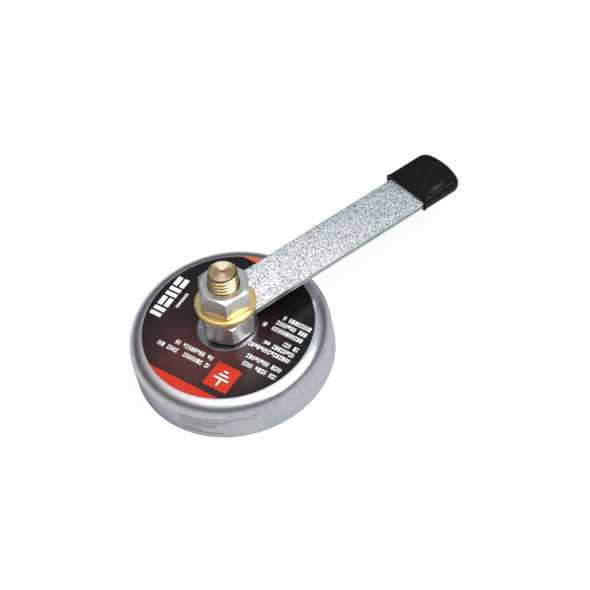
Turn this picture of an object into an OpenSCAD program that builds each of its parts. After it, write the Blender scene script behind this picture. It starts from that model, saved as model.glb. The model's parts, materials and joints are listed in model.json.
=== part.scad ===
// Magnetic welding ground clamp: a pot magnet, a floating brass contact stud through
// its middle, a flat lever clamped between two nuts, and a vinyl grip on the lever.
// Origin: centre of the pot's work face. +Z: up out of the pot. +X: along the lever.

/* [Pot magnet] */
// Outside diameter of the steel pot
pot_d = 80; // [70:1:100]
// Height of the steel pot
pot_h = 18; // [17:0.5:20]
// Thickness of the pot's side wall
pot_wall = 3; // [2:0.25:3.5]
// Thickness of the pot's top web
web_t = 2.5; // [2:0.25:3]
// Radius of the rounded shoulder, outside
shoulder_r = 6; // [4:0.5:7]
// How far the magnet's face sits above the work face
face_recess = 0.3; // [0.1:0.1:1]

/* [Labels] */
// Diameter of the round label
label_d = 68.4; // [60:0.2:68.4]
// Thickness of both labels
label_t = 0.15; // [0.1:0.05:0.3]
// Height of the side label
side_label_h = 10.6; // [5:0.1:10.8]
// Height of the side label's lower edge
side_label_z = 1; // [0.5:0.1:1.2]
// Angle from the lever to the side label's near end
side_label_from = -159; // [-180:1:-140]
// Angle that the side label covers
side_label_arc = 48; // [20:1:80]

/* [Stud and hardware] */
// Nominal diameter of the stud's thread
stud_d = 12; // [12:0.1:12.2]
// Length of thread that stands free above the upper nut
free_thread = 6.8; // [4:0.1:12]
// Width of both nuts across their flats
nut_af = 19; // [18:0.1:19]
// Height of both nuts
nut_h = 10; // [10:0.1:10.8]
// Outside diameter of the brass washer and of the seat washer
washer_d = 24; // [23:0.1:24]
// Thickness of the brass washer
washer_t = 2.5; // [1.5:0.1:3]
// Thickness of the seat washer
seat_t = 1; // [0.9:0.1:1.4]
// Depth of the recess in the pot that the seat washer lies in
seat_recess = 0.8; // [0.5:0.1:0.9]
// Diameter of the contact head
head_d = 21; // [18:0.5:21]
// Height of the contact head
head_h = 8.6; // [7:0.1:8.6]

/* [Lever] */
// Width of the lever
lever_w = 19; // [17:0.5:22]
// Thickness of the lever
lever_t = 2.5; // [2:0.1:4]
// Distance from the stud to the lever's far end
lever_len = 109.6; // [80:0.1:140]
// Length of the vinyl grip, along the lever
grip_len = 22; // [18:0.5:40]
// Wall of the grip on the lever's two faces
grip_wall = 1.5; // [0.8:0.1:1.8]

/* [Lean of the stud] */
// Angle that the stud rocks over, towards the lever
lean = 6; // [4:0.5:6]
// Offset of the floating stud along the lever
float_x = -0.5; // [-0.5:0.1:0.5]
// Offset of the floating stud across the lever
float_y = -0.85; // [-0.85:0.05:0.85]

/* [Hidden] */
$fn = 96;
eps = 0.02;             // gap between pieces that touch
fit_gap = 0.06;         // radial running clearance on the stud
pot_r = pot_d / 2;
inner_r = pot_r - pot_wall;
web_z = pot_h - web_t;
inner_shoulder_r = shoulder_r - web_t;
web_hole_r = 7.4;
seat_hole_r = 7.35;
bore_r = 14.2;
liner_wall = 0.9;
label_gap = 0.2;
label_margin = 0.2;
side_label_top = min(side_label_z + side_label_h, pot_h - shoulder_r - label_margin);
magnet_r = 33.4;
stud_r = stud_d / 2;
pivot_z = pot_h - web_t / 2;
washer_r = washer_d / 2;
nut_bearing_r = nut_af / 2 - 0.45;
nut_corner_r = nut_af / sqrt(3);
chamfer_slope = tan(30);
mouth_r = stud_r + 0.45;
over = 1;                // how far a cutting shape reaches past the solid it cuts
joint_play = 0.05;       // clearance under the lower nut
// Heights along the stud, measured from the pivot
seat_top_z = web_t / 2 + seat_t - seat_recess;
nut1_z = (seat_top_z + nut_bearing_r * sin(lean)) / cos(lean) + joint_play;
lever_z = nut1_z + nut_h + eps;
washer_z = lever_z + lever_t + eps;
nut2_z = washer_z + washer_t + eps;
stud_top_z = nut2_z + nut_h + free_thread;
stud_end_chamfer = 0.7;
// A thread relief groove marks off the free end of the stud
relief_h = 0.7;
relief_depth = 0.35;
relief_gap = 0.1;
free_end_z = nut2_z + nut_h + relief_gap;
// The contact face is a shallow dome, so that it still meets the work when it leans
dome_r = 60;
dome_sink = (dome_r - pivot_z) * (1 - cos(lean));
head_bottom_z = -pivot_z + dome_sink + eps;
head_top_z = head_bottom_z + head_h;
// Disc springs between the contact head and the web
spring_count = 4;
spring_t = 0.8;
spring_rise = 0.45;
spring_r = 11.2;
spring_hole_r = 6.3;
// How far each nut is turned from the lever
lower_nut_turn = 4.4;
upper_nut_turn = -3.4;
// Grip: it sits a little to one side, as a dipped cap does
grip_side = 1.7;
grip_shift = 0.7;
grip_tip = 3;
grip_end = lever_len + grip_tip;
grip_start = grip_end - grip_len;
grip_bow = 2.6;
grip_corner_r = 3.2;
lever_corner_r = 4;

// Places its children on the stud: local +Z runs up the leaning stud from the pivot
module on_stud(z = 0) {
    translate([float_x, float_y, pivot_z])
        rotate([0, lean, 0])
            translate([0, 0, z])
                children();
}

// A flat ring from z = 0 up
module ring(r_out, r_in, h) {
    difference() {
        cylinder(r = r_out, h = h);
        translate([0, 0, -over]) cylinder(r = r_in, h = h + 2 * over);
    }
}

// A plain disc with a quarter-round top edge
module rounded_disc(r, h, edge_r) {
    rotate_extrude()
        union() {
            square([r - edge_r, h]);
            square([r, h - edge_r]);
            translate([r - edge_r, h - edge_r]) intersection() {
                circle(r = edge_r);
                square(edge_r);
            }
        }
}

// Hexagon nut, both faces chamfered at 30 degrees and both mouths countersunk
module hex_nut(bore) {
    mouth_h = mouth_r - bore;
    difference() {
        intersection() {
            cylinder(d = 2 * nut_corner_r, h = nut_h, $fn = 6);
            chamfer_cone(nut_bearing_r);
            translate([0, 0, nut_h]) mirror([0, 0, 1]) chamfer_cone(nut_bearing_r);
        }
        translate([0, 0, -over]) cylinder(r = bore, h = nut_h + 2 * over);
        translate([0, 0, -eps / 2]) cylinder(r1 = mouth_r, r2 = bore, h = mouth_h);
        translate([0, 0, nut_h - mouth_h + eps / 2]) cylinder(r1 = bore, r2 = mouth_r, h = mouth_h);
    }
}

// Cone that opens upwards from a bearing face of radius r
module chamfer_cone(r) {
    cylinder(r1 = r, r2 = r + nut_h / chamfer_slope, h = nut_h);
}

// Outline of a bar end: a rectangle from x0 to x1 with its two far corners rounded
module bar_outline(x0, x1, w, corner) {
    union() {
        translate([x0, -w / 2]) square([x1 - corner - x0, w]);
        translate([x0, -w / 2 + corner]) square([x1 - x0, w - 2 * corner]);
        for (side = [-1, 1])
            translate([x1 - corner, side * (w / 2 - corner)]) circle(r = corner);
    }
}

// Outline of the grip: straight sides, rounded corners and a bowed end
module grip_outline(x0, x1, w, corner, bow) {
    intersection() {
        bar_outline(x0, x1, w, corner);
        bow_r = (w * w / 4 + bow * bow) / (2 * bow);
        translate([x1 - bow_r, 0]) circle(r = bow_r, $fn = 240);
    }
}

module magnet_cup() {
    color([0.76, 0.77, 0.80]) difference() {
        rounded_disc(pot_r, pot_h, shoulder_r);
        translate([0, 0, -over]) cylinder(r = inner_r, h = 1.5 * over);
        rounded_disc(inner_r, web_z, inner_shoulder_r);
        cylinder(r = web_hole_r, h = pot_h + over);
        translate([0, 0, pot_h - seat_recess]) cylinder(r = washer_r + eps, h = seat_recess + over);
    }
}

module ring_magnet() {
    color([0.20, 0.20, 0.21])
        translate([0, 0, face_recess])
            ring(magnet_r, bore_r, web_z - face_recess - eps);
}

module potting_ring() {
    height = web_z - inner_shoulder_r - face_recess;
    color([0.11, 0.11, 0.12])
        translate([0, 0, face_recess])
            ring(inner_r - eps, magnet_r + eps, height);
}

module bore_liner() {
    color([0.85, 0.84, 0.80])
        translate([0, 0, face_recess])
            ring(bore_r - eps, bore_r - liner_wall, web_z - face_recess - eps);
}

module face_label() {
    color([0.12, 0.07, 0.07])
        translate([0, 0, pot_h])
            ring(label_d / 2, washer_r + label_gap, label_t);
}

module side_label() {
    color([0.80, 0.80, 0.82])
        rotate([0, 0, side_label_from])
            rotate_extrude(angle = side_label_arc)
                translate([pot_r + eps, side_label_z]) square([label_t, side_label_top - side_label_z]);
}

module seat_washer() {
    color([0.66, 0.67, 0.70])
        translate([0, 0, pot_h - seat_recess])
            ring(washer_r, seat_hole_r, seat_t);
}

module contact_stud() {
    color([0.82, 0.64, 0.36]) on_stud() difference() {
        union() {
            intersection() {
                translate([0, 0, head_bottom_z]) cylinder(d = head_d, h = head_h);
                translate([0, 0, head_bottom_z + dome_r]) sphere(r = dome_r, $fn = 180);
            }
            translate([0, 0, head_top_z - over])
                cylinder(r = stud_r, h = stud_top_z - stud_end_chamfer - head_top_z + over);
            translate([0, 0, stud_top_z - stud_end_chamfer])
                cylinder(r1 = stud_r, r2 = stud_r - stud_end_chamfer, h = stud_end_chamfer);
        }
        translate([0, 0, free_end_z - relief_h]) ring(stud_r + over, stud_r - relief_depth, relief_h);
    }
}

module disc_spring() {
    rotate_extrude() polygon([
        [spring_hole_r, spring_rise],
        [spring_r, 0],
        [spring_r, spring_t],
        [spring_hole_r, spring_rise + spring_t]
    ]);
}

module disc_springs() {
    pitch = spring_t + spring_rise + eps;
    color([0.55, 0.56, 0.58]) on_stud(head_top_z + eps)
        for (i = [0 : spring_count - 1])
            translate([0, 0, i * pitch])
                if (i % 2 == 0) disc_spring();
                else translate([0, 0, spring_t + spring_rise]) mirror([0, 0, 1]) disc_spring();
}

module lower_nut() {
    color([0.78, 0.79, 0.81]) on_stud(nut1_z)
        rotate([0, 0, lower_nut_turn]) hex_nut(stud_r + eps);
}

module lever_bar() {
    color([0.80, 0.82, 0.84]) on_stud(lever_z) difference() {
        linear_extrude(lever_t) union() {
            circle(d = lever_w);
            bar_outline(0, lever_len, lever_w, lever_corner_r);
        }
        translate([0, 0, -over]) cylinder(r = stud_r + fit_gap, h = lever_t + 2 * over);
    }
}

module grip_cap() {
    outer_t = lever_t + 2 * grip_wall;
    outer_w = lever_w + 2 * grip_side;
    color([0.06, 0.06, 0.07]) on_stud(lever_z - grip_wall) difference() {
        translate([0, grip_shift, 0]) linear_extrude(outer_t)
            grip_outline(grip_start, grip_end, outer_w, grip_corner_r, grip_bow);
        translate([0, 0, grip_wall - eps]) linear_extrude(lever_t + 2 * eps)
            bar_outline(grip_start - over, lever_len + eps, lever_w + 2 * eps, lever_corner_r);
    }
}

module brass_washer() {
    color([0.85, 0.67, 0.30]) on_stud(washer_z)
        ring(washer_r, stud_r + fit_gap, washer_t);
}

module upper_nut() {
    color([0.80, 0.80, 0.81]) on_stud(nut2_z)
        rotate([0, 0, upper_nut_turn]) hex_nut(stud_r + fit_gap);
}

magnet_cup();
ring_magnet();
potting_ring();
bore_liner();
face_label();
side_label();
seat_washer();
contact_stud();
disc_springs();
lower_nut();
lever_bar();
grip_cap();
brass_washer();
upper_nut();
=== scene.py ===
"""Looks of a magnetic welding ground clamp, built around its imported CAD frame.

Lengths in this script are millimetres in the part's own frame, and add_piece() turns them into metres.
Pieces on the stud are drawn in the stud's frame: its origin is the pivot and +Z runs up the leaning stud.
"""

import json
import math

import bmesh
import bpy
import numpy as np
from mathutils import Matrix, Vector

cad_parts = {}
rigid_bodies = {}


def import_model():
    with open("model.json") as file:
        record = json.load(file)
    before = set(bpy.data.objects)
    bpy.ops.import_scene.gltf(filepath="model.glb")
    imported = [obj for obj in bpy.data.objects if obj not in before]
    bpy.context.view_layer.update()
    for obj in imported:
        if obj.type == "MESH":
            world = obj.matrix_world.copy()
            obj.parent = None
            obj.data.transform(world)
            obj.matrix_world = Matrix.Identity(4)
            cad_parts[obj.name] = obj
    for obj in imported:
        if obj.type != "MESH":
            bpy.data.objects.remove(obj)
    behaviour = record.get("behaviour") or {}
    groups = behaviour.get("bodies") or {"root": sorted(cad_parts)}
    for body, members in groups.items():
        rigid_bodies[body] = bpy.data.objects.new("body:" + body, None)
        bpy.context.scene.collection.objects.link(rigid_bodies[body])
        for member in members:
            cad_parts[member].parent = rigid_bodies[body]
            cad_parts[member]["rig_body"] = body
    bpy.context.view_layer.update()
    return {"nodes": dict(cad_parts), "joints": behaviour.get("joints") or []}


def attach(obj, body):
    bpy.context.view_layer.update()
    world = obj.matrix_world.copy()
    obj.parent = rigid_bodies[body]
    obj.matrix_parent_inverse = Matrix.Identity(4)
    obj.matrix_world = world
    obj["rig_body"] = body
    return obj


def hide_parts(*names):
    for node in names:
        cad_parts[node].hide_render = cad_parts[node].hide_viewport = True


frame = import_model()

MM = 0.001
TURN = 2 * math.pi
SIXTH = TURN / 6
QUARTER = TURN / 4
GAP = 0.02  # space between pieces that touch

# Camera, in millimetres and degrees: where it looks, and from where
AIM = (24.62, -13.46, 27.81)
CAMERA_DISTANCE = 856.56
CAMERA_AZIMUTH = -28.67
CAMERA_ELEVATION = 51.84
CAMERA_ROLL = -12.69
CAMERA_LENS = 135.56
CAMERA_SENSOR = 36.0


# ---------------------------------------------------------------- places, from the frame


def stud_basis():
    """Matrix from the stud's frame to the part's frame, in millimetres."""
    joint = next(j for j in frame["joints"] if j["name"] == "lever_swing")
    up = Vector(joint["axis"]).normalized()
    across = Vector((0, 1, 0))
    along = across.cross(up)
    rotation = Matrix((along, across, up)).transposed().to_4x4()
    return Matrix.Translation(Vector(joint["pos_m"]) / MM) @ rotation


PART = Matrix.Identity(4)
STUD = stud_basis()


def corners(node, basis):
    """A CAD node's vertices in that basis, in millimetres."""
    points = np.array([v.co for v in frame["nodes"][node].data.vertices]) / MM
    inverse = np.array(basis.inverted())
    return points @ inverse[:3, :3].T + inverse[:3, 3]


def span(values):
    """(lowest, highest) of an array."""
    return float(values.min()), float(values.max())


def limits(node, basis=PART):
    """(inner radius, outer radius, lowest z, highest z) of a CAD node about that basis's z axis."""
    points = corners(node, basis)
    return (*span(np.hypot(points[:, 0], points[:, 1])), *span(points[:, 2]))


# ---------------------------------------------------------------- mesh tools


def add_piece(name, node, mesh_data, basis, material):
    """Makes a visible piece that stands for a CAD node and rides on that node's body."""
    points, faces = mesh_data
    mesh = bpy.data.meshes.new(name)
    mesh.from_pydata([(basis @ Vector(p)) * MM for p in points], [], faces)
    edit = bmesh.new()
    edit.from_mesh(mesh)
    bmesh.ops.remove_doubles(edit, verts=edit.verts, dist=1e-7)
    bmesh.ops.dissolve_degenerate(edit, edges=edit.edges, dist=1e-7)
    bmesh.ops.recalc_face_normals(edit, faces=edit.faces)
    edit.to_mesh(mesh)
    edit.free()
    mesh.polygons.foreach_set("use_smooth", [True] * len(mesh.polygons))
    mesh.materials.append(material)
    piece = bpy.data.objects.new(name, mesh)
    bpy.context.scene.collection.objects.link(piece)
    normals = piece.modifiers.new("even_normals", "WEIGHTED_NORMAL")
    normals.weight = 100
    cad = frame["nodes"][node]
    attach(piece, cad["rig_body"])
    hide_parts(node)
    return piece


def fillet(outline, steps=5):
    """Rounds the corners of a closed outline. Each corner is (x, y, radius)."""
    rounded = []
    for i, (x, y, radius) in enumerate(outline):
        here = Vector((x, y))
        before = (Vector(outline[i - 1][:2]) - here).normalized()
        after = (Vector(outline[(i + 1) % len(outline)][:2]) - here).normalized()
        half = before.angle(after) / 2
        centre = here + (before + after).normalized() * radius / math.sin(half)
        start = here + before * radius / math.tan(half) - centre
        end = here + after * radius / math.tan(half) - centre
        sweep = start.angle_signed(end)
        for k in range(steps + 1):
            turned = Matrix.Rotation(-sweep * k / steps, 2) @ start
            rounded.append(tuple(centre + turned))
    return rounded


def skin(rings, closed):
    """Quads between neighbouring rings of equal length.

    closed joins the last ring to the first. Otherwise both ends are capped.
    """
    size = len(rings[0])
    points = [p for ring in rings for p in ring]
    faces = []
    for i in range(len(rings) if closed else len(rings) - 1):
        a, b = i * size, (i + 1) % len(rings) * size
        faces += [(a + j, a + (j + 1) % size, b + (j + 1) % size, b + j) for j in range(size)]
    if not closed:
        faces.append(tuple(range(size)))
        faces.append(tuple(range(len(points) - size, len(points))))
    return points, faces


def evenly(count):
    """count angles round the circle."""
    return [TURN * i / count for i in range(count)]


def revolve(outline_at, angles):
    """Closed ring about z. outline_at gives its closed (r, z) outline at an angle."""
    rings = []
    for angle in angles:
        c, s = math.cos(angle), math.sin(angle)
        rings.append([(r * c, r * s, z) for r, z in outline_at(angle)])
    return skin(rings, closed=True)


def plain_ring(r_in, r_out, low, high, inner_edge, outer_edge):
    """A flat ring. Its edges are rounded by one radius at the bore and another outside."""
    bore = [(r_in, high, inner_edge), (r_in, low, inner_edge)]
    outline = fillet(bore + [(r_out, low, outer_edge), (r_out, high, outer_edge)])
    return revolve(lambda angle: outline, evenly(160))


def mesh_lists(edit):
    """The points and faces of a bmesh, which is freed."""
    edit.verts.index_update()
    points = [tuple(v.co) for v in edit.verts]
    faces = [tuple(v.index for v in f.verts) for f in edit.faces]
    edit.free()
    return points, faces


# ---------------------------------------------------------------- material tools


class Shader:
    """Builds one material, or the world. Most calls add a node and return the socket it makes."""

    def __init__(self, name, owner=None):
        self.owner = owner or bpy.data.materials.new(name)
        self.owner.use_nodes = True
        self.tree = self.owner.node_tree
        self.tree.nodes.clear()

    def add(self, kind, inputs=None, **settings):
        """A node with its settings, and with inputs from sockets or values."""
        node = self.tree.nodes.new(kind)
        for key, value in settings.items():
            setattr(node, key, value)
        for key, value in (inputs or {}).items():
            socket = node.inputs[key]
            if isinstance(value, bpy.types.NodeSocket):
                self.tree.links.new(value, socket)
            else:
                socket.default_value = value
        return node

    def place(self, basis=PART, turn=0.0):
        """Position in millimetres in a basis, turned about its z axis."""
        spot = self.add("ShaderNodeTexCoord").outputs["Object"]
        euler = (basis @ Matrix.Rotation(turn, 4, "Z")).to_euler()
        origin = basis.translation * MM
        inputs = {"Vector": spot, "Location": origin, "Rotation": euler, "Scale": (MM, MM, MM)}
        return self.add("ShaderNodeMapping", inputs, vector_type="TEXTURE").outputs[0]

    def math(self, operation, a, b=0.0, c=0.0):
        """One sum on up to three numbers."""
        return self.add("ShaderNodeMath", {0: a, 1: b, 2: c}, operation=operation).outputs[0]

    def times(self, *values):
        """The product of all values."""
        product = values[0]
        for value in values[1:]:
            product = self.math("MULTIPLY", product, value)
        return product

    def cosine(self, direction):
        """Cosine of the angle between the surface's normal and a direction."""
        normal = self.add("ShaderNodeNewGeometry").outputs["Normal"]
        dot = self.add("ShaderNodeVectorMath", {0: normal, 1: direction}, operation="DOT_PRODUCT")
        return dot.outputs["Value"]

    def facing(self, basis):
        """How nearly the surface faces up or down a basis's z axis, 0 to 1."""
        return self.math("ABSOLUTE", self.cosine(basis.to_3x3().col[2]))

    def ellipse(self, x, y, centre, reach):
        """0 at an ellipse's centre and 1 on its edge. It grows with the square of the distance."""
        squares = []
        for value, middle, half in zip((x, y), centre, reach):
            away = self.math("MULTIPLY_ADD", value, 1 / half, -middle / half)
            squares.append(self.math("MULTIPLY", away, away))
        return self.math("ADD", *squares)

    def vector(self, x, y, z):
        """A vector or colour from its three parts."""
        return self.add("ShaderNodeCombineXYZ", {0: x, 1: y, 2: z}).outputs[0]

    def axes(self, vector):
        """The three parts of a vector."""
        return self.add("ShaderNodeSeparateXYZ", {0: vector}).outputs

    def stretch(self, vector, scale):
        """The vector times a scale for each axis."""
        return self.add("ShaderNodeVectorMath", {0: vector, 1: scale}, operation="MULTIPLY").outputs[0]

    def noise(self, vector, size, detail=3.0, roughness=0.5):
        """Cloudy noise from 0 to 1 whose blobs are about size millimetres."""
        inputs = {"Vector": vector, "Scale": 1.0 / size, "Detail": detail, "Roughness": roughness}
        return self.add("ShaderNodeTexNoise", inputs).outputs[0]

    def spread(self, value, low, high, to_low=0.0, to_high=1.0):
        """Maps low..high to to_low..to_high, clamped."""
        inputs = {0: value, 1: low, 2: high, 3: to_low, 4: to_high}
        return self.add("ShaderNodeMapRange", inputs).outputs[0]

    def ramp(self, value, stops, interpolation="LINEAR"):
        """Colour from a list of (place, (r, g, b))."""
        node = self.add("ShaderNodeValToRGB", {0: value})
        node.color_ramp.interpolation = interpolation
        elements = node.color_ramp.elements
        while len(elements) < len(stops):
            elements.new(0.5)
        for element, (place, colour) in zip(elements, stops):
            element.position = place
            element.color = (*colour, 1.0)
        return node.outputs[0]

    def fill(self, socket, value):
        """Links a socket, or sets it to a number or a colour."""
        if isinstance(value, bpy.types.NodeSocket):
            self.tree.links.new(value, socket)
        else:
            socket.default_value = (*value, 1.0) if isinstance(value, tuple) else value

    def blend(self, share, a, b):
        """Mixes two colours."""
        node = self.add("ShaderNodeMix", data_type="RGBA")
        for number, value in ((0, share), (6, a), (7, b)):
            self.fill(node.inputs[number], value)
        return node.outputs[2]

    def bump(self, height, depth, below=None):
        """A normal from a 0 to 1 height that stands depth millimetres."""
        inputs = {"Height": height, "Distance": depth * MM}
        if below is not None:
            inputs["Normal"] = below
        return self.add("ShaderNodeBump", inputs).outputs[0]

    def finish(self, **inputs):
        """Adds the surface and returns the material. Names use _ for spaces."""
        surface = self.add("ShaderNodeBsdfPrincipled")
        for key, value in inputs.items():
            self.fill(surface.inputs[key.replace("_", " ")], value)
        self.add("ShaderNodeOutputMaterial", {"Surface": surface.outputs[0]})
        return self.owner


# ---------------------------------------------------------------- materials
# Sizes in noise() and depths in bump() are millimetres. Most noise lies between 0.3 and 0.7.


def scratches(s, spot, size, stretch, threshold):
    """Sparse fine scratches, 0 to 1."""
    streaks = s.noise(s.stretch(spot, stretch), size, detail=2.0, roughness=0.7)
    return s.spread(streaks, threshold, threshold + 0.05)


def zinc_pot():
    """Bright zinc plate on drawn steel: satin and faintly frosted, with lilac, pink and green clouds."""
    s = Shader("zinc_pot_plate")
    spot = s.place()
    x, _, z = s.axes(spot)
    cloud = s.noise(spot, 16.0, detail=2.0)
    grain = s.noise(spot, 0.8, detail=2.0, roughness=0.7)
    colour = s.ramp(cloud, [
        (0.34, (0.55, 0.61, 0.60)), (0.47, (0.585, 0.59, 0.655)),
        (0.58, (0.67, 0.60, 0.65)), (0.68, (0.56, 0.60, 0.68)),
    ])
    colour = s.blend(s.spread(grain, 0.40, 0.62, 0.0, 0.30), colour, (0.24, 0.25, 0.26))
    # Painted shade: a little darker towards +x, under the lever
    colour = s.blend(s.spread(x, 0.0, 40.0, 0.0, 0.15), colour, (0.20, 0.205, 0.215))
    # Painted light: lighter and warmer on the far side's shoulder
    shoulder = s.spread(z, 10.0, 14.0)
    colour = s.blend(s.times(s.spread(x, -15.0, -38.0, 0.0, 0.5), shoulder), colour, (0.72, 0.70, 0.64))
    # Painted shade: darker where it is seen edge on
    edge_on_shade = s.add("ShaderNodeLayerWeight", {"Blend": 0.5}).outputs["Facing"]
    colour = s.blend(s.spread(edge_on_shade, 0.72, 1.0, 0.0, 0.55), colour, (0.16, 0.17, 0.18))
    normal = s.bump(grain, 0.06, s.bump(s.noise(spot, 9.0, detail=1.0), 0.05))
    return s.finish(Base_Color=colour, Metallic=1.0, Roughness=0.28, Normal=normal)


def ferrite():
    """Sintered ferrite: charcoal, ground flat, with a dull grain."""
    s = Shader("ferrite_ground")
    spot = s.place()
    grain = s.noise(spot, 0.5, detail=4.0, roughness=0.7)
    lines = s.noise(s.stretch(spot, (1.0, 0.04, 1.0)), 0.35, detail=2.0)
    colour = s.ramp(grain, [(0.3, (0.035, 0.035, 0.037)), (0.7, (0.10, 0.10, 0.105))])
    rough = s.spread(lines, 0.3, 0.7, 0.42, 0.66)
    normal = s.bump(lines, 0.02, s.bump(grain, 0.02))
    return s.finish(Base_Color=colour, Roughness=rough, Normal=normal)


def potting_resin():
    """Black cast resin with small bubbles."""
    s = Shader("cast_resin")
    spot = s.place()
    cloud = s.noise(spot, 2.5, detail=3.0)
    pits = s.add("ShaderNodeTexVoronoi", {"Vector": spot, "Scale": 0.55}).outputs["Distance"]
    colour = s.ramp(cloud, [(0.3, (0.012, 0.012, 0.014)), (0.7, (0.03, 0.03, 0.032))])
    rough = s.spread(cloud, 0.3, 0.7, 0.22, 0.36)
    normal = s.bump(s.spread(pits, 0.0, 0.16), 0.08, s.bump(cloud, 0.05))
    return s.finish(Base_Color=colour, Roughness=rough, Normal=normal)


def liner_plastic():
    """Off-white moulded nylon."""
    s = Shader("nylon_liner")
    spot = s.place()
    cloud = s.noise(spot, 3.0, detail=4.0)
    colour = s.ramp(cloud, [(0.3, (0.70, 0.67, 0.59)), (0.7, (0.80, 0.78, 0.71))])
    normal = s.bump(s.noise(spot, 0.3), 0.01)
    return s.finish(Base_Color=colour, Roughness=0.42, Subsurface_Weight=0.1, Normal=normal)


def zinc_washer():
    """Zinc plate rubbed grey and scratched."""
    s = Shader("zinc_seat_plate")
    spot = s.place()
    cloud = s.noise(spot, 1.8, detail=4.0, roughness=0.65)
    nick = scratches(s, spot, 0.5, (0.15, 1.0, 1.0), 0.62)
    other = scratches(s, s.place(turn=0.9), 0.45, (0.12, 1.0, 1.0), 0.62)
    marks = s.math("MAXIMUM", nick, other)
    colour = s.ramp(cloud, [(0.3, (0.17, 0.175, 0.185)), (0.7, (0.34, 0.345, 0.36))])
    colour = s.blend(s.times(marks, 0.7), colour, (0.8, 0.81, 0.83))
    rough = s.spread(cloud, 0.3, 0.7, 0.45, 0.28)
    normal = s.bump(marks, 0.02, s.bump(cloud, 0.03))
    return s.finish(Base_Color=colour, Metallic=1.0, Roughness=rough, Normal=normal)


# Painted light on the nuts: faces that look this way are painted brighter
PAINTED_LIGHT_SIDE = (0.55, -0.835, 0.0)  # the way the nuts' brightest faces look
# Colour of the brass washer's painted reflection on the upper nut
WASHER_REFLECTION_PAINT = (0.72, 0.58, 0.36)


def zinc_nut():
    """Bright zinc plate on a machined nut: satin, with faint machining lines and handling marks."""
    s = Shader("zinc_nut_plate")
    spot = s.place(STUD)
    cloud = s.noise(spot, 3.0, detail=4.0, roughness=0.6)
    lines = s.noise(s.stretch(spot, (0.3, 0.3, 6.0)), 1.0, detail=2.0)
    nick = scratches(s, spot, 0.4, (0.2, 1.0, 0.6), 0.72)
    colour = s.ramp(cloud, [(0.3, (0.66, 0.67, 0.67)), (0.7, (0.78, 0.785, 0.78))])
    # Painted reflection: the upper nut picks up the washer's yellow near its lower face
    rise = s.math("SUBTRACT", s.axes(spot)[2], limits("upper_nut", STUD)[2])
    painted_washer_reflection = s.times(s.spread(rise, 1.0, 9.0, 0.7, 0.0), s.math("GREATER_THAN", rise, -GAP))
    colour = s.blend(painted_washer_reflection, colour, WASHER_REFLECTION_PAINT)
    # Painted light: faces towards the key light are painted brighter, the faces away from it darker
    painted_light_tone = s.spread(s.cosine(PAINTED_LIGHT_SIDE), -0.3, 0.8, 0.68, 1.35)
    colour = s.stretch(colour, s.vector(painted_light_tone, painted_light_tone, painted_light_tone))
    rough = s.spread(cloud, 0.3, 0.7, 0.27, 0.33)
    normal = s.bump(nick, 0.004, s.bump(lines, 0.002))
    return s.finish(Base_Color=colour, Metallic=0.9, Roughness=rough, Normal=normal)


def spring_steel():
    """Oiled spring steel, blued in patches."""
    s = Shader("spring_steel_oiled")
    spot = s.place(STUD)
    cloud = s.noise(spot, 2.0, detail=3.0)
    colour = s.ramp(cloud, [(0.35, (0.22, 0.23, 0.26)), (0.65, (0.40, 0.40, 0.42))])
    normal = s.bump(s.noise(spot, 0.3), 0.01)
    return s.finish(Base_Color=colour, Metallic=1.0, Roughness=0.34, Normal=normal)


# Direction and colour of the painted highlight on the stud's turned end
FAN_ANGLE = math.radians(51.3)
FAN_HIGHLIGHT_PAINT = (1.0, 0.83, 0.60)
LATHE_CENTRE_R = 0.42


def turned_brass(name, dark, light, groove_depth, rough, metal, thread_r=0.0):
    """Turned brass, with fine rings on its flat faces. thread_r adds the stud's thread and end."""
    s = Shader(name)
    spot = s.place(STUD)
    x, y, _ = s.axes(spot)
    reach = s.math("SQRT", s.math("ADD", s.times(x, x), s.times(y, y)))
    end_face = s.spread(s.facing(STUD), 0.85, 0.95)
    rings = s.noise(s.vector(reach, 0.0, 0.0), 0.3, detail=2.0)
    cloud = s.noise(spot, 2.4, detail=4.0, roughness=0.6)
    mottle = s.math("ADD", s.times(cloud, 0.6), s.times(rings, 0.4))
    colour = s.ramp(mottle, [(0.35, dark), (0.65, light)])
    if thread_r:
        # Painted highlight: two bright fans cross the turned end, one weaker than the other
        along = s.math("ADD", s.times(x, math.cos(FAN_ANGLE)), s.times(y, math.sin(FAN_ANGLE)))
        along = s.math("DIVIDE", along, reach)
        painted_fan_highlight = s.math("MAXIMUM", s.spread(along, 0.5, 0.9), s.spread(along, -0.7, -0.98, 0.0, 0.6))
        painted_fan_highlight = s.times(painted_fan_highlight, s.spread(reach, 0.3, 1.2), end_face)
        colour = s.blend(painted_fan_highlight, colour, FAN_HIGHLIGHT_PAINT)
        metal = s.spread(painted_fan_highlight, 0.0, 1.0, metal, 0.45)
        # Painted shade darkens the thread grooves and the lathe centre
        groove = s.spread(reach, thread_r - THREAD_DEPTH, thread_r - THREAD_DEPTH * 0.3, 0.92, 0.0)
        threaded = s.math("GREATER_THAN", reach, thread_r - 1.1 * THREAD_DEPTH)
        groove = s.times(groove, s.math("SUBTRACT", 1.0, end_face), threaded)
        colour = s.blend(groove, colour, (0.10, 0.045, 0.012))
        colour = s.blend(s.math("LESS_THAN", reach, LATHE_CENTRE_R), colour, (0.06, 0.035, 0.015))
    rough = s.spread(cloud, 0.3, 0.7, rough, rough + 0.06)
    normal = s.bump(s.times(rings, end_face), groove_depth)
    return s.finish(Base_Color=colour, Metallic=metal, Roughness=rough, Normal=normal)


SHEAR_LINE = 1.15  # depth of the main shear line below the lever's top face
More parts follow.
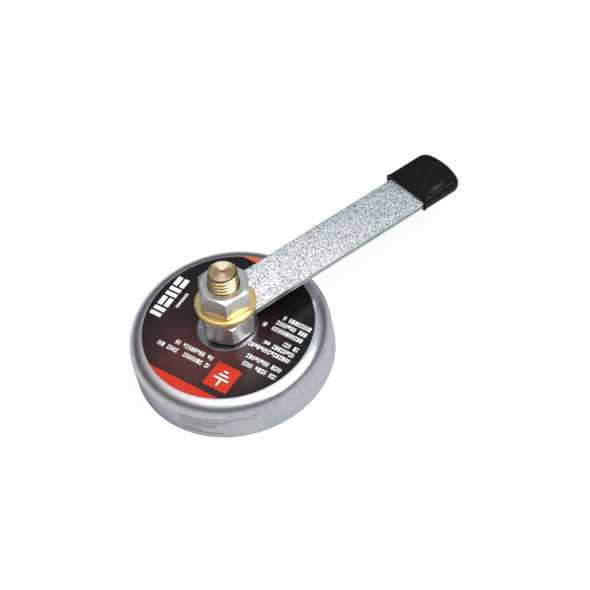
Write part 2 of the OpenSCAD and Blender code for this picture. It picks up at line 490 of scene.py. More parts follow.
# Painted shade along the lever's sides, in the shear groove and lower down: (depth below the top face, width,
# strength)
PAINTED_SIDE_SHADE = [(SHEAR_LINE, 0.55, 0.9), (2.3, 0.4, 0.5)]
PAINTED_EDGE_SHADE_WIDTH = 0.35  # width of the painted shade line along the lever's faces


def zinc_lever():
    """Zinc plate on rough rolled bar: sparkling faces, and smooth sides with dark lines of painted shade at
    the shear line.
    """
    s = Shader("zinc_lever_plate")
    spot = s.place(STUD)
    along, across, height = s.axes(spot)
    rough_face = s.spread(s.facing(STUD), 0.93, 0.985)
    fleck = s.noise(spot, 0.39, detail=1.5, roughness=0.6)
    cloud = s.noise(s.stretch(spot, (0.5, 1.0, 1.0)), 6.0, detail=2.0)
    smooth = s.ramp(cloud, [(0.3, (0.56, 0.64, 0.60)), (0.7, (0.70, 0.77, 0.73))])
    drop = s.math("SUBTRACT", limits("lever_bar", STUD)[3], height)
    # Painted shade lines along the sides
    for depth, width, strength in PAINTED_SIDE_SHADE:
        line = s.math("COMPARE", drop, depth, width / 2)
        smooth = s.blend(s.times(line, strength), smooth, (0.03, 0.05, 0.045))
    sparkle = s.ramp(fleck, [
        (0.405, (0.04, 0.05, 0.055)), (0.47, (0.63, 0.68, 0.72)), (0.51, (1.0, 1.0, 1.0)),
    ])
    # Painted light: the plate is painted brighter near the stud and darker, a little bluer, towards the grip
    painted_light_falloff = s.spread(s.math("MULTIPLY_ADD", across, 2.2, along), 20.0, 105.0, 1.05, 0.56)
    fade = s.times(painted_light_falloff, s.spread(cloud, 0.3, 0.7, 0.90, 1.06))
    painted_light_tones = s.vector(s.math("POWER", fade, 1.15), fade, s.math("POWER", fade, 0.88))
    sparkle = s.stretch(sparkle, painted_light_tones)
    side = float(corners("lever_bar", STUD)[:, 1].max())
    # Painted shade along the edges of the lever's faces
    edge = s.math("GREATER_THAN", s.math("ABSOLUTE", across), side - PAINTED_EDGE_SHADE_WIDTH)
    sparkle = s.blend(s.times(edge, 0.6), sparkle, (0.10, 0.125, 0.125))
    colour = s.blend(rough_face, smooth, sparkle)
    rough = s.spread(rough_face, 0.0, 1.0, 0.3, 0.34)
    metal = s.spread(rough_face, 0.0, 1.0, 1.0, 0.34)
    normal = s.bump(s.times(fleck, rough_face), 0.12, s.bump(cloud, 0.05))
    return s.finish(Base_Color=colour, Metallic=metal, Roughness=rough, Normal=normal)


# The painted highlight on the grip, a soft pale patch, in the stud's frame
HIGHLIGHT_CENTRE, HIGHLIGHT_REACH = (100.0, -7.0), (5.0, 1.5)


def black_vinyl():
    """Dip-moulded black vinyl: glossy, slightly uneven, with fine dust and a soft painted highlight."""
    s = Shader("vinyl_black")
    spot = s.place(STUD)
    x, y, _ = s.axes(spot)
    cloud = s.noise(spot, 3.0, detail=3.0)
    fine = s.noise(spot, 0.35, detail=2.0)
    dust = s.spread(s.noise(spot, 0.5, detail=3.0, roughness=0.7), 0.66, 0.76)
    colour = s.ramp(cloud, [(0.3, (0.004, 0.0045, 0.0045)), (0.7, (0.007, 0.0075, 0.0075))])
    colour = s.blend(s.times(dust, 0.35), colour, (0.12, 0.12, 0.12))
    # Painted highlight: a soft pale patch on the grip
    painted_highlight = s.spread(s.ellipse(x, y, HIGHLIGHT_CENTRE, HIGHLIGHT_REACH), 1.0, 0.0, 0.0, 0.45)
    painted_highlight = s.times(painted_highlight, s.spread(cloud, 0.35, 0.55, 0.3, 1.0))
    colour = s.blend(painted_highlight, colour, (0.09, 0.09, 0.09))
    rough = s.spread(cloud, 0.3, 0.7, 0.22, 0.32)
    normal = s.bump(fine, 0.004, s.bump(cloud, 0.10))
    return s.finish(Base_Color=colour, Roughness=rough, Specular_IOR_Level=0.12, Normal=normal)


# Label print, in the label's frame: u runs along the lines of print and v towards their tops.
LABEL_TURN = math.radians(106.8)
PRINT_WHITE = (0.82, 0.82, 0.80)
PRINT_RED = (0.56, 0.031, 0.012)
PRINT_ORANGE = (0.72, 0.09, 0.02)
TOP_CHORD, BOTTOM_CHORD = 29.9, -31.0
# Lines of generic print: (start u, end u, centre v)
PRINT_LINES = [
    (-4.6, 19.9, 19.5), (-4.3, 13.7, 15.9),
    (-30.6, -15.0, 11.4), (-30.8, -13.8, 7.8),
    (-31.0, -11.4, 2.6), (-31.0, -16.7, -0.4), (-31.0, -24.2, -3.4),
    (-31.0, -11.5, -7.7), (-30.7, -15.7, -10.8), (-30.2, -17.1, -13.8),
]
LINE_H = 2.0
BLOCK_PITCH, BLOCK_SHARE = 1.3, 0.72  # of the plain blocks in a line of print
ROW_SEED = 37.0
# Four square blocks that stand along the label's edge: (top v, bottom v)
TITLE_U, TITLE_H = 29.0, 5.2
TITLE_BLOCKS = [(9.7, 5.3), (4.4, 0.0), (-0.9, -5.3), (-6.2, -10.6)]
# One straight slot through each block: (v, width, height)
TITLE_SLOTS = [(7.5, 5.4, 0.9), (2.2, 0.9, 4.6), (-3.1, 5.4, 0.9), (-8.4, 0.9, 4.6)]
# A row of small ticks under them: (centre u, centre v, width, height)
SMALL_LINE = (23.4, -1.15, 1.2, 7.7)
BADGE_CENTRE, BADGE_SIZE = (-12.4, 21.2), (11.0, 11.4)
# Strokes of the earth symbol on the badge, from its centre: (du, dv, width, height)
EARTH_STROKES = [(0.0, 2.5, 0.8, 3.4), (0.0, 0.8, 6.6, 0.8), (0.0, -1.0, 4.3, 0.8), (0.0, -2.8, 2.0, 0.8)]
# The maroon glow, in the part's frame
GLOW_CENTRE, GLOW_REACH = (-13.0, -3.0), (24.0, 22.0)


def printed_label():
    """Semi-gloss printed film: black with a maroon glow, two red segments, a badge and generic print."""
    s = Shader("label_print")
    spot = s.place(turn=LABEL_TURN)
    u, v, _ = s.axes(spot)

    def near(value, centre, width):
        return s.math("COMPARE", value, centre, width / 2)

    def box(centre_u, centre_v, width, height):
        return s.times(near(u, centre_u, width), near(v, centre_v, height))

    def join(masks):
        total = masks[0]
        for mask in masks[1:]:
            total = s.math("MAXIMUM", total, mask)
        return total

    # Rows of plain blocks: whole, low, split across or split upright. Some are left out as spaces.
    rows = [box((a + b) / 2, mid, b - a, LINE_H) for a, b, mid in PRINT_LINES]
    in_row, row_code = 0.0, 0.0
    for number, (mask, (_, _, mid)) in enumerate(zip(rows, PRINT_LINES)):
        rise = s.math("MULTIPLY_ADD", v, 1 / LINE_H, 0.5 - mid / LINE_H)
        in_row = s.math("MULTIPLY_ADD", mask, rise, in_row)
        row_code = s.math("MULTIPLY_ADD", mask, ROW_SEED * (number + 1), row_code)
    cells = s.times(u, 1 / BLOCK_PITCH)
    in_cell = s.math("FRACT", cells)
    code = s.math("ADD", s.math("FLOOR", cells), row_code)
    dice = s.add("ShaderNodeTexWhiteNoise", {"W": code}, noise_dimensions="1D").outputs["Color"]
    kind, _, kept = s.axes(dice)
    whole = near(in_cell, BLOCK_SHARE / 2, BLOCK_SHARE)
    upright = s.math("SUBTRACT", whole, near(in_cell, BLOCK_SHARE / 2, 0.2))
    across = s.math("SUBTRACT", whole, near(in_row, 0.5, 0.26))
    low = s.times(whole, s.math("LESS_THAN", in_row, 0.68))
    block = whole
    for shape, share in ((low, 0.75), (across, 0.6), (upright, 0.38)):
        picked = s.math("LESS_THAN", kind, share)
        block = s.math("MULTIPLY_ADD", picked, s.math("SUBTRACT", shape, block), block)
    print_mask = s.times(join(rows), block, s.math("GREATER_THAN", kept, 0.1))

    title = join([box(TITLE_U, (top + bottom) / 2, TITLE_H, top - bottom) for top, bottom in TITLE_BLOCKS])
    title = s.math("SUBTRACT", title, join([box(TITLE_U, *slot) for slot in TITLE_SLOTS]))
    ticks = s.times(box(*SMALL_LINE), s.math("GREATER_THAN", s.math("PINGPONG", v, 0.42), 0.12))
    badge_u, badge_v = BADGE_CENTRE
    earth = join([box(badge_u + du, badge_v + dv, w, h) for du, dv, w, h in EARTH_STROKES])
    white = join([print_mask, title, ticks, earth])
    segments = s.math("ADD", s.math("GREATER_THAN", v, TOP_CHORD), s.math("LESS_THAN", v, BOTTOM_CHORD))
    red = s.math("MINIMUM", s.math("ADD", segments, box(badge_u, badge_v, *BADGE_SIZE)), 1.0)
    # In reflections the red is held back, so that the plated nuts stay grey
    mirrored = s.add("ShaderNodeLightPath").outputs["Is Glossy Ray"]
    red = s.times(red, s.spread(mirrored, 0.0, 1.0, 1.0, 0.15))

    x, y, _ = s.axes(s.place())
    cloud = s.noise(spot, 5.0, detail=4.0, roughness=0.6)
    glow = s.ellipse(x, y, GLOW_CENTRE, GLOW_REACH)
    glow = s.math("ADD", glow, s.spread(cloud, 0.3, 0.7, -0.18, 0.18))
    ground = s.ramp(s.spread(glow, 0.0, 2.0), [
        (0.0, (0.085, 0.026, 0.026)), (0.35, (0.036, 0.013, 0.013)), (1.0, (0.006, 0.0045, 0.005)),
    ])
    specks = s.spread(s.noise(spot, 0.4, detail=2.0), 0.62, 0.8, 0.0, 0.25)
    ground = s.blend(specks, ground, (0.16, 0.09, 0.08))
    tint = s.blend(s.math("LESS_THAN", v, BOTTOM_CHORD), PRINT_RED, PRINT_ORANGE)
    colour = s.blend(white, s.blend(red, ground, tint), PRINT_WHITE)
    rough = s.spread(cloud, 0.3, 0.7, 0.22, 0.32)
    normal = s.bump(s.noise(spot, 9.0, detail=1.0), 0.05)
    return s.finish(Base_Color=colour, Roughness=rough, Specular_IOR_Level=0.2, Normal=normal)


POT_R = 40.0
FOIL_START, FOIL_LENGTH = -111.0, 33.5  # of the side label, along the pot's side
# Share of the label's length that each row of print takes, from the bottom row up
FOIL_ROW_LENGTHS = [0.0, 0.52, 0.28, 0.0, 0.46, 0.5, 0.62, 0.96]
FOIL_ROW_SHIFT = 5.77  # keeps the rows from looking alike
FOIL_MARGIN = 0.03  # share of the length before the print starts
FOIL_EDGE = 0.35  # height of the bright cut along the top


def foil_label():
    """Matt silver film with rows of very fine generic marks."""
    s = Shader("label_foil")
    spot = s.place()
    x, y, z = s.axes(spot)
    low, high = limits("side_label")[2:]
    count = len(FOIL_ROW_LENGTHS)
    along = s.math("MULTIPLY_ADD", s.math("ARCTAN2", y, x), POT_R, -FOIL_START)
    rows = s.times(s.math("SUBTRACT", z, low), count / (high - low))
    stops = [(i / count, (n, n, n)) for i, n in enumerate(FOIL_ROW_LENGTHS)]
    lengths = s.ramp(s.times(rows, 1 / count), stops, "CONSTANT")
    reach = s.times(along, 1 / FOIL_LENGTH)
    inside = s.times(s.math("LESS_THAN", reach, lengths), s.math("GREATER_THAN", reach, FOIL_MARGIN))
    in_row = s.math("COMPARE", s.math("FRACT", rows), 0.5, 0.24)
    shifted = s.math("ADD", along, s.times(s.math("FLOOR", rows), FOIL_ROW_SHIFT))
    marks = s.noise(s.vector(shifted, rows, 0.0), 0.55, detail=2.0)
    ink = s.times(in_row, inside, s.spread(marks, 0.38, 0.6, 0.4, 0.95))
    cloud = s.noise(spot, 6.0, detail=3.0)
    colour = s.ramp(cloud, [(0.3, (0.56, 0.545, 0.565)), (0.7, (0.62, 0.605, 0.63))])
    colour = s.blend(s.math("GREATER_THAN", z, high - FOIL_EDGE), colour, (0.98, 0.98, 0.98))
    colour = s.blend(ink, colour, (0.11, 0.10, 0.12))
    normal = s.bump(s.noise(spot, 2.5, detail=2.0), 0.02)
    return s.finish(Base_Color=colour, Metallic=0.35, Roughness=0.42, Normal=normal)


# ---------------------------------------------------------------- pot magnet


SHOULDER_R = 6.0
CAVITY_FILLET = 3.5


def cup():
    """Drawn steel pot: rounded shoulder, ground rim, and a recess for the seat washer."""
    hole_r, pot_r, low, high = limits("magnet_cup")
    cavity_r = limits("potting_ring")[1] + GAP
    web_under = limits("ring_magnet")[3] + GAP
    seat_r, seat_floor = limits("seat_washer")[1:3]
    outline = fillet([
        (pot_r, low, 0.35), (pot_r, high, SHOULDER_R), (seat_r + GAP, high, 0.08),
        (seat_r + GAP, seat_floor, 0.02), (hole_r, seat_floor, 0.2), (hole_r, web_under, 0.2),
        (cavity_r, web_under, CAVITY_FILLET), (cavity_r, low, 0.5),
    ], steps=12)
    return revolve(lambda angle: outline, evenly(240))


SIDE_LABEL_CORNER_R = 0.9


def side_label_sheet():
    """Thin curved label with rounded corners on the pot's side."""
    points = corners("side_label", PART)
    angles = np.unwrap(np.sort(np.arctan2(points[:, 1], points[:, 0])))
    r_in, r_out, low, high = limits("side_label")
    steps = 60
    half = (angles[-1] - angles[0]) / 2 * r_out
    middle = (angles[-1] + angles[0]) / 2
    rings = []
    for i in range(steps + 1):
        run = -half * math.cos(math.pi * i / steps)
        over = max(0.0, abs(run) - (half - SIDE_LABEL_CORNER_R))
        rise = math.sqrt(max(0.0, SIDE_LABEL_CORNER_R ** 2 - over ** 2))
        cut = SIDE_LABEL_CORNER_R - rise + GAP  # stays just inside the CAD label
        angle = middle + run / r_out
        c, s = math.cos(angle), math.sin(angle)
        section = [(r_in, low + cut), (r_out, low + cut), (r_out, high - cut), (r_in, high - cut)]
        rings.append([(r * c, r * s, z) for r, z in section])
    return skin(rings, closed=False)


# ---------------------------------------------------------------- stud


PITCH = 1.75
THREAD_DEPTH = 0.88
END_EDGE = 0.1  # height of the edge that joins the thread to the turned end
# One pitch of the thread: (share of the pitch, share of the depth cut away)
THREAD_FORM = [
    (0.00, 0.10), (0.03, 0.02), (0.09, 0.0), (0.15, 0.02), (0.18, 0.10), (0.30, 0.50),
    (0.43, 0.93), (0.48, 0.99), (0.55, 1.0), (0.62, 0.99), (0.67, 0.93), (0.80, 0.50),
]


def thread_sheet(r_major, depth, low, high):
    """A bmesh tube with a right-hand thread. It fades out at low, and a 45 degree chamfer cuts it at high."""
    edit = bmesh.new()
    columns, per_turn = 144, len(THREAD_FORM)
    turns = int((high - low) / PITCH) + 3
    rows = turns * per_turn
    grid = []
    for i in range(columns):
        angle = TURN * i / columns
        column = []
        for j in range(rows):
            share, cut = THREAD_FORM[j % per_turn]
            z = low + PITCH * (j // per_turn - 1.5 + share + i / columns)
            fade = min(max((z - low) / PITCH, 0.0), 1.0)
            r = min(r_major - depth * cut * fade, r_major - depth + max(0.0, high - z))
            column.append(edit.verts.new((r * math.cos(angle), r * math.sin(angle), z)))
        grid.append(column)
    for i in range(columns):
        # The last column meets the first one turn further up
        jump = per_turn if i == columns - 1 else 0
        here, there = grid[i], grid[(i + 1) % columns]
        for j in range(rows - 1 - jump):
            edit.faces.new((here[j + jump], there[j], there[j + 1], here[j + jump + 1]))
    for z, inward in ((low, -1), (high, 1)):
        geometry = edit.verts[:] + edit.edges[:] + edit.faces[:]
        bmesh.ops.bisect_plane(edit, geom=geometry, plane_co=(0, 0, z), plane_no=(0, 0, inward),
                               clear_outer=True, dist=1e-5)
    loose = [v for v in edit.verts if not v.link_faces]
    bmesh.ops.delete(edit, geom=loose, context="VERTS")
    return edit


def rim_loop(edit, z):
    """The open edge at height z as vertices in order of angle."""
    rim = {v for e in edit.edges if e.is_boundary for v in e.verts if abs(v.co.z - z) < 1e-3}
    return sorted(rim, key=lambda v: math.atan2(v.co.y, v.co.x))


def grow(edit, loop, outline):
    """Carries an open edge on through (r, z) steps and closes it on the axis."""
    angles = [math.atan2(v.co.y, v.co.x) for v in loop]
    for r, z in outline:
        ring = [edit.verts.new((r * math.cos(a), r * math.sin(a), z)) for a in angles]
        for i in range(len(loop)):
            j = (i + 1) % len(loop)
            edit.faces.new((loop[i], loop[j], ring[j], ring[i]))
        loop = ring
    edit.faces.new(loop)


MARK_PITCH, MARK_DEPTH = 0.62, 0.012  # of the turning marks on the stud's end
MARKS_END_R = 0.5
# The lathe centre in the stud's end: (radius, depth)
LATHE_CENTRE = [(LATHE_CENTRE_R, 0.03), (0.3, 0.16), (0.12, 0.34)]
# The head's rounded rim: (inset, drop below its top) and (inset, rise above its dome)
HEAD_TOP_RIM = [(0.3, 0.0), (0.08, 0.08), (0.0, 0.3)]
HEAD_LOW_RIM = [(0.0, 0.3), (0.08, 0.05)]


def stud_mesh():
    """Brass contact stud: domed head, threaded shank, faced and chamfered end with a lathe centre."""
    points = corners("contact_stud", STUD)
    reach = np.hypot(points[:, 0], points[:, 1])
    low, top = span(points[:, 2])
    head_r = float(reach.max())
    head_low, head_top = span(points[reach > head_r - 0.01, 2])
    shank_r = float(reach[points[:, 2] > top - 2].max())
    edit = thread_sheet(shank_r, THREAD_DEPTH, head_top, top - END_EDGE)
    end_r = shank_r - THREAD_DEPTH - 0.1
    finish = [(end_r + 0.07, top - 0.03), (end_r, top)]
    rings = 40
    for i in range(1, rings):
        r = end_r * (1 - i / rings)
        if r > MARKS_END_R:
            finish.append((r, top - MARK_DEPTH * (1 + math.cos(r * TURN / MARK_PITCH))))
    finish += [(r, top - depth) for r, depth in LATHE_CENTRE]
    grow(edit, rim_loop(edit, top - END_EDGE), finish)
    sag = (head_low - low) / head_r ** 2
    head = [(head_r - inset, head_top - drop) for inset, drop in HEAD_TOP_RIM]
    head += [(head_r - inset, head_low + rise) for inset, rise in HEAD_LOW_RIM]
    head += [(head_r * k / 12, low + sag * (head_r * k / 12) ** 2) for k in range(11, 0, -1)]
    grow(edit, rim_loop(edit, head_top), head)
    return mesh_lists(edit)


# ---------------------------------------------------------------- nuts


NUT_CORNER_R = 0.45
NUT_CHAMFER = math.radians(30)
MOUTH_R = 6.45
# Where a nut's outline is cut, in degrees from the middle of each flat
NUT_STEPS = [0, 5, 10, 15, 20, 24, 27, 28.2, 28.7, 29.2, 29.6]


def nut_mesh(node):
    """Hexagon nut, both faces chamfered at 30 degrees, both mouths countersunk, all edges broken."""
    points = corners(node, STUD)
    reach = np.hypot(points[:, 0], points[:, 1])
    bore, corner_r, low, high = limits(node, STUD)
    half_side = SIXTH / 2
    flat_r = corner_r * math.cos(half_side)
    bearing_r = float(reach[points[:, 2] < low + GAP].max())
    far = points[reach.argmax()]
    turn = math.atan2(far[1], far[0])
    inner = (flat_r - NUT_CORNER_R) / math.cos(half_side)

    def hexagon(angle):
        """The nut's outline: its radius at an angle."""
        from_corner = abs((angle - turn + half_side) % SIXTH - half_side)
        from_flat = half_side - from_corner
        if flat_r * math.tan(from_flat) <= (flat_r - NUT_CORNER_R) * math.tan(half_side):
            return flat_r / math.cos(from_flat)
        across = inner * math.sin(from_corner)
        return inner * math.cos(from_corner) + math.sqrt(NUT_CORNER_R ** 2 - across ** 2)

    def outline_at(angle):
        r = hexagon(angle)
        slope = r - bearing_r
        lift = slope * math.tan(NUT_CHAMFER)
        side = min(0.3, 0.9 * slope)
        face = min(0.1, 0.9 * slope)
        mouth = MOUTH_R - bore
        return fillet([
            (bore, low + mouth, 0.05), (MOUTH_R, low, 0.08), (bearing_r, low, face),
            (r, low + lift, side), (r, high - lift, side),
            (bearing_r, high, face), (MOUTH_R, high, 0.08), (bore, high - mouth, 0.05),
        ], steps=4)

    steps = sorted({sign * d for d in NUT_STEPS for sign in (-1, 1)} | {30})
    angles = [turn + half_side + k * SIXTH + math.radians(d) for k in range(6) for d in steps]
    return revolve(outline_at, angles)


# ---------------------------------------------------------------- lever and grip


def offset(loop, distance):
    """A closed 2D outline moved inward, to the left of its direction."""
    moved = []
    for i, here in enumerate(loop):
        before = (Vector(here) - Vector(loop[i - 1])).normalized()
        after = (Vector(loop[(i + 1) % len(loop)]) - Vector(here)).normalized()
        left = Vector((-before.y - after.y, before.x + after.x)).normalized()
        reach = distance / max(0.3, left.dot(Vector((-after.y, after.x))))
        moved.append((here[0] + left.x * reach, here[1] + left.y * reach))
    return moved


def plate(loops, wall):
    """A flat plate. loops are its outline and holes, and wall its (inset, z) steps from bottom to top."""
    edit = bmesh.new()
    ends = {0: [], len(wall) - 1: []}
    for loop in loops:
        rings = [[edit.verts.new((x, y, z)) for x, y in offset(loop, inset)] for inset, z in wall]
        for lower, upper in zip(rings, rings[1:]):
            for i in range(len(loop)):
                j = (i + 1) % len(loop)
                edit.faces.new((lower[i], lower[j], upper[j], upper[i]))
        for row in ends:
            ring = rings[row]
            ends[row] += [edit.edges.get((ring[i - 1], ring[i])) for i in range(len(ring))]
    for edges in ends.values():
        bmesh.ops.triangle_fill(edit, edges=edges, use_beauty=True)
    return mesh_lists(edit)


LEVER_CORNER_R = 4.0
LEVER_EDGE_R = 0.12
# The groove that the shears left along the sides: (inset, height above the shear line)
SHEAR_GROOVE = [(0.0, -0.12), (0.13, 0.0), (0.03, 0.1)]


def quarter(steps):
    """Angles from 0 to a right angle."""
    return [QUARTER * k / steps for k in range(steps + 1)]


def lever_mesh():
    """Flat bar with a round head, softened edges and the fine shear line along its sides."""
    points = corners("lever_bar", STUD)
    bore, _, low, high = limits("lever_bar", STUD)
    length, half = float(points[:, 0].max()), float(np.ptp(points[:, 1])) / 2
    head = [(-half * math.sin(a), half * math.cos(a)) for a in np.linspace(0, math.pi, 49)]
    tail = []
    for side, start in ((-1, 3 * QUARTER), (1, 0.0)):
        for a in np.linspace(start, start + QUARTER, 11):
            tail.append((length - LEVER_CORNER_R + LEVER_CORNER_R * math.cos(a),
                         side * (half - LEVER_CORNER_R) + LEVER_CORNER_R * math.sin(a)))
    hole = [(bore * math.cos(a), -bore * math.sin(a)) for a in evenly(72)]
    edge = LEVER_EDGE_R
    wall = [(edge * (1 - math.sin(a)), low + edge * (1 - math.cos(a))) for a in quarter(5)]
    wall += [(inset, high - SHEAR_LINE + rise) for inset, rise in SHEAR_GROOVE]
    wall += [(edge * (1 - math.cos(a)), high - edge * (1 - math.sin(a))) for a in quarter(5)]
    return plate([head + tail, hole], wall)


GRIP_EDGE_R = 1.9
GRIP_SIDE_FLAT = 0.45
GRIP_CORNER_R = 4.6
GRIP_BOW = 2.6
GRIP_BEAD, GRIP_BEAD_REACH = 0.22, 0.75  # how far the bead at the mouth stands out, and how long it is
GRIP_CROWN = 0.05  # share that the faces swell in the middle
GRIP_SLANT, GRIP_SLANT_REACH = 1.3, 5.0  # how far the mouth is out of square, and how far in that dies out
# Distances from the mouth where the bead needs close cuts
MOUTH_STEPS = (0.0, 0.15, 0.35, 0.6, 0.9, 1.2, 1.6, 2.2)


def grip_mesh():
    """Dip-moulded cap: bowed end, soft edges, a bead at the mouth and a pocket that holds the lever."""
    points = corners("grip_cap", STUD)
    start, end = span(points[:, 0])
    half_w, half_t = float(np.ptp(points[:, 1])) / 2, float(np.ptp(points[:, 2])) / 2
    shift, middle = sum(span(points[:, 1])) / 2, sum(span(points[:, 2])) / 2
    lever = corners("lever_bar", STUD)
    lever_end = float(lever[:, 0].max())
    lever_w, lever_t = float(np.ptp(lever[:, 1])) / 2, float(np.ptp(lever[:, 2])) / 2

    # Half of the plan outline, from the mouth to the bow's middle: (x, y, normal x, normal y)
    bow_r = (half_w ** 2 + GRIP_BOW ** 2) / (2 * GRIP_BOW)
    corner_y = half_w - GRIP_CORNER_R
    bow_x = end - bow_r
    corner_x = bow_x + math.sqrt((bow_r - GRIP_CORNER_R) ** 2 - corner_y ** 2)
    bow_angle = math.atan2(corner_y, corner_x - bow_x)
    half_plan = [(start + d, half_w, 0.0, 1.0) for d in MOUTH_STEPS]
    half_plan += [(x, half_w, 0.0, 1.0) for x in np.linspace(start + 3.2, corner_x - 0.8, 12)]
    for a in np.linspace(QUARTER, bow_angle, 14):
        c, s = math.cos(a), math.sin(a)
        half_plan.append((corner_x + GRIP_CORNER_R * c, corner_y + GRIP_CORNER_R * s, c, s))
    for a in np.linspace(bow_angle, 0, 9)[1:]:
        c, s = math.cos(a), math.sin(a)
        half_plan.append((bow_x + bow_r * c, bow_r * s, c, s))
    # The rounded side, from the lower face to the upper one: (inset, z)
    curve_t = half_t - GRIP_SIDE_FLAT
    rim = [(GRIP_EDGE_R * (1 - math.sin(a)), -GRIP_SIDE_FLAT - curve_t * math.cos(a)) for a in quarter(8)]
    rim += [(inset, -z) for inset, z in reversed(rim)]
    across = 14

    def section(x, y, nx, ny):
        """The closed loop across the grip at a plan point and its mirror image."""
        swell = GRIP_BEAD * math.exp(-(((x - start) / GRIP_BEAD_REACH) ** 2)) if ny == 1.0 else 0.0
        grow_z = (half_t + swell) / half_t
        right = [(x - nx * inset, y - ny * inset + swell, z * grow_z) for inset, z in rim]
        left = [(px, -py, pz) for px, py, pz in reversed(right)]
        loop = list(right)
        for (ax, ay, az), (bx, by, bz), onward in ((right[-1], left[0], left), (left[-1], right[0], [])):
            for k in range(1, across):
                t = k / across
                crown = 1 + GRIP_CROWN * math.sin(math.pi * t)
                loop.append((ax + (bx - ax) * t, ay + (by - ay) * t, az * crown))
            loop += onward
        return loop

    rings = [[(x, y + shift, z) for x, y, z in section(*p)] for p in reversed(half_plan)]
    mouth = rings[-1]

    def pocket(x, share, clear_w, clear_t):
        """The mouth's loop drawn in towards the pocket's rectangle, which clears the lever."""
        w, t = lever_w + clear_w, lever_t + clear_t
        ring = []
        for _, y, z in mouth:
            inner_y = max(-w, min(w, (y - shift) * w / (half_w - GRIP_EDGE_R * 0.35)))
            inner_z = max(-t, min(t, z * t / (half_t * 0.75)))
            ring.append((x, y + (inner_y - y) * share, z + (inner_z - z) * share))
        return ring

    for x, share in ((start - 0.1, 0.25), (start - 0.12, 0.55), (start + 0.1, 1.0)):
        rings.append(pocket(x, share, 0.25, 0.12))
    for x in (start + 1.2, lever_end + GAP):
        rings.append(pocket(x, 1.0, GAP, GAP))

    def slanted(x, y):
        """x moved out on one side of the mouth."""
        share = min(1.0, max(0.0, 1 - (x - start) / GRIP_SLANT_REACH))
        return x + GRIP_SLANT * share * (half_w + shift - y) / (2 * half_w)

    rings = [[(slanted(x, y), y, z + middle) for x, y, z in ring] for ring in rings]
    return skin(rings, closed=False)


# ---------------------------------------------------------------- all pieces


def build_object():
    """Every visible piece, each standing for one CAD node. The springs are the CAD's own."""
    nut = zinc_nut()
    stud_metal = turned_brass("brass_stud", (0.50, 0.34, 0.17), (0.84, 0.60, 0.33),
                              groove_depth=0.004, rough=0.2, metal=1.0, thread_r=6.0)
    washer_metal = turned_brass("brass_washer_plate", (0.90, 0.61, 0.23), (0.97, 0.71, 0.31),
                                groove_depth=0.0005, rough=0.26, metal=0.85)
    add_piece("magnet_cup_shell", "magnet_cup", cup(), PART, zinc_pot())
    for name, node, inner_edge, outer_edge, basis, material in (
        ("ring_magnet_body", "ring_magnet", 0.5, 0.5, PART, ferrite()),
        ("potting_ring_body", "potting_ring", 0.12, 0.12, PART, potting_resin()),
        ("bore_liner_sleeve", "bore_liner", 0.25, 0.1, PART, liner_plastic()),
        ("face_label_film", "face_label", 0.04, 0.04, PART, printed_label()),
        ("seat_washer_disc", "seat_washer", 0.12, 0.3, PART, zinc_washer()),
        ("brass_washer_disc", "brass_washer", 0.2, 0.75, STUD, washer_metal),
    ):
        ring = plain_ring(*limits(node, basis), inner_edge, outer_edge)
        add_piece(name, node, ring, basis, material)
    add_piece("side_label_film", "side_label", side_label_sheet(), PART, foil_label())
    add_piece("contact_stud_threaded", "contact_stud", stud_mesh(), STUD, stud_metal)
    for node in ("lower_nut", "upper_nut"):
        add_piece(node + "_hex", node, nut_mesh(node), STUD, nut)
    add_piece("lever_bar_plate", "lever_bar", lever_mesh(), STUD, zinc_lever())
    add_piece("grip_cap_vinyl", "grip_cap", grip_mesh(), STUD, black_vinyl())
    springs = frame["nodes"]["disc_springs"]
    springs.data.materials.clear()
    springs.data.materials.append(spring_steel())


# ---------------------------------------------------------------- stage


FLOOR_HALF = 6.0  # metres
FLOOR_LIFT = 0.9  # share of the floor's colour that is plain light for the camera
# The room's light by direction, from straight down (0) to straight up (1)
FRONT_LIGHT = [
    (0.0, (0.80, 0.81, 0.84)), (0.57, (0.66, 0.67, 0.69)), (0.63, (0.24, 0.265, 0.26)),
    (0.69, (0.15, 0.175, 0.168)), (0.83, (0.165, 0.19, 0.182)), (0.91, (0.85, 0.86, 0.88)),
    (0.955, (1.9, 1.9, 1.93)),
]
BACK_LIGHT = [
    (0.0, (0.70, 0.70, 0.73)), (0.52, (0.26, 0.27, 0.28)), (0.60, (0.10, 0.11, 0.11)),
    (0.80, (0.20, 0.21, 0.22)), (0.91, (0.70, 0.72, 0.76)), (0.98, (1.9, 1.9, 1.93)),
]


def add_floor():
    """A wide pale floor, lifted towards white for the camera so that shadows stay faint."""
    f = FLOOR_HALF
    mesh = bpy.data.meshes.new("floor")
    mesh.from_pydata([(-f, -f, 0), (f, -f, 0), (f, f, 0), (-f, f, 0)], [], [(0, 1, 2, 3)])
    floor = bpy.data.objects.new("floor", mesh)
    bpy.context.scene.collection.objects.link(floor)
    s = Shader("floor_pale")
    matt = s.add("ShaderNodeBsdfDiffuse", {"Color": (0.60, 0.62, 0.64, 1.0)})
    glow = s.add("ShaderNodeEmission", {"Color": (1.0, 1.0, 1.0, 1.0), "Strength": 1.04})
    share = s.times(s.add("ShaderNodeLightPath").outputs["Is Camera Ray"], FLOOR_LIFT)
    mixed = s.add("ShaderNodeMixShader", {0: share, 1: matt.outputs[0], 2: glow.outputs[0]})
    s.add("ShaderNodeOutputMaterial", {"Surface": mixed.outputs[0]})
    floor.data.materials.append(s.owner)


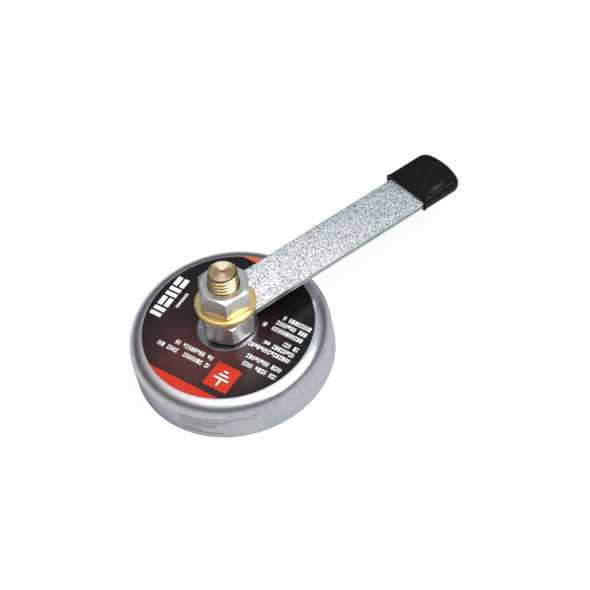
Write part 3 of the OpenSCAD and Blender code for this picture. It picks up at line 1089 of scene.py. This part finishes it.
def add_world():
    """A dim room with a bright ceiling, a little brighter on the right. The camera itself sees white."""
    world = bpy.data.worlds.new("studio")
    bpy.context.scene.world = world
    s = Shader("studio", world)
    direction = s.add("ShaderNodeTexCoord").outputs["Generated"]
    turn = (0, 0, math.radians(-CAMERA_AZIMUTH))
    x, y, z = s.axes(s.add("ShaderNodeMapping", {"Vector": direction, "Rotation": turn}).outputs[0])
    height = s.spread(z, -1.0, 1.0)
    room = s.blend(s.spread(y, -0.4, 0.4), s.ramp(height, FRONT_LIGHT), s.ramp(height, BACK_LIGHT))
    lit = s.add("ShaderNodeBackground", {"Color": room, "Strength": s.spread(x, -1.0, 1.0, 0.9, 1.1)})
    plain = s.add("ShaderNodeBackground", {"Color": (1.0, 1.0, 1.0, 1.0), "Strength": 1.0})
    seen = s.add("ShaderNodeLightPath").outputs["Is Camera Ray"]
    mixed = s.add("ShaderNodeMixShader", {0: seen, 1: lit.outputs[0], 2: plain.outputs[0]})
    s.add("ShaderNodeOutputWorld", {"Surface": mixed.outputs[0]})


def aim_from(thing, azimuth, elevation, distance, roll=0.0):
    """Puts a camera or lamp at a bearing in degrees and a distance in metres, looking at AIM.

    Azimuth 0 is -Y, and it grows towards +X.
    """
    a, e, turn = math.radians(azimuth), math.radians(elevation), math.radians(roll)
    back = Vector((math.sin(a) * math.cos(e), -math.cos(a) * math.cos(e), math.sin(e)))
    right = Vector((0, 0, 1)).cross(back).normalized()
    up = back.cross(right)
    turned_right = right * math.cos(turn) + up * math.sin(turn)
    turned_up = up * math.cos(turn) - right * math.sin(turn)
    matrix = Matrix((turned_right, turned_up, back)).transposed().to_4x4()
    matrix.translation = Vector(AIM) * MM + back * distance
    thing.matrix_world = matrix


def add_softbox(name, azimuth, elevation, distance, size, power):
    """A rectangular area lamp that looks at the object."""
    lamp = bpy.data.lights.new(name, "AREA")
    lamp.shape = "RECTANGLE"
    lamp.size, lamp.size_y = size
    lamp.energy = power
    thing = bpy.data.objects.new(name, lamp)
    bpy.context.scene.collection.objects.link(thing)
    aim_from(thing, azimuth, elevation, distance)


def add_camera():
    """The camera at the main viewing angle."""
    data = bpy.data.cameras.new("camera")
    data.lens, data.sensor_width = CAMERA_LENS, CAMERA_SENSOR
    camera = bpy.data.objects.new("camera", data)
    bpy.context.scene.collection.objects.link(camera)
    aim_from(camera, CAMERA_AZIMUTH, CAMERA_ELEVATION, CAMERA_DISTANCE * MM, CAMERA_ROLL)
    bpy.context.scene.camera = camera


build_object()
add_floor()
add_world()
add_softbox("softbox_key", azimuth=34, elevation=60, distance=1.1, size=(0.8, 0.6), power=9.6)
add_camera()
bpy.context.scene.view_settings.view_transform = "Standard"
